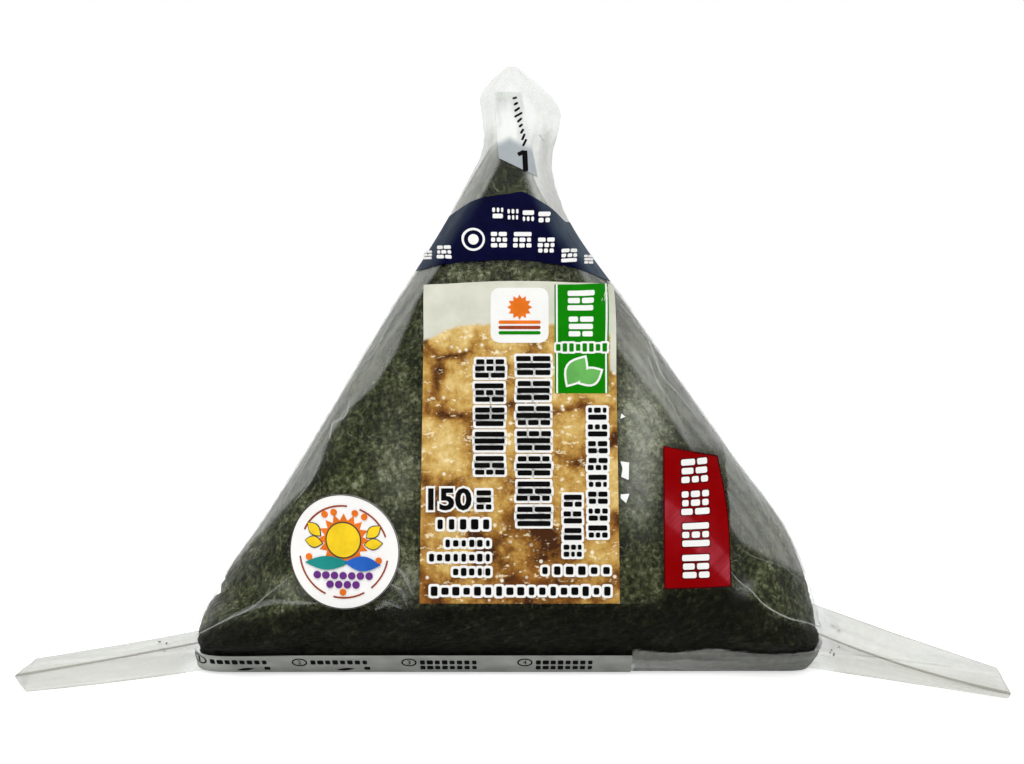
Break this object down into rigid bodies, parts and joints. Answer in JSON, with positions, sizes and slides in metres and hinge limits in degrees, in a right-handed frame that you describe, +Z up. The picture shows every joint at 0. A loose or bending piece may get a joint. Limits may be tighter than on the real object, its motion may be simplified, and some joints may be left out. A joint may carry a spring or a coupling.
{
  "type": "onigiri rice ball",
  "caption": "Triangular seaweed-wrapped rice ball standing on its base in a clear film pack with film ears, a top fin, a label and a round sticker.",
  "frame": {"origin": "middle of the flat base, on the surface that the pack stands on", "axes": "+X along the base towards the right ear as seen from the front, +Z up, and the labelled front faces -Y"},
  "size_m": [0.1542, 0.0399, 0.095],
  "materials": {
    "film_pack": "clear thin film over mottled dark green dried seaweed",
    "front_label": "printed satin film label, golden brown and cream",
    "round_sticker": "printed white sticker",
    "navy_band": "dark navy print on film",
    "red_panel": "deep red print on film",
    "tear_tab": "pale grey tear strip under film"
  },
  "bodies": {
    "root": {"film_pack": "film_pack", "front_label": "front_label", "round_sticker": "round_sticker", "navy_band": "navy_band", "red_panel": "red_panel", "tear_tab": "tear_tab"}
  },
  "joints": []
}
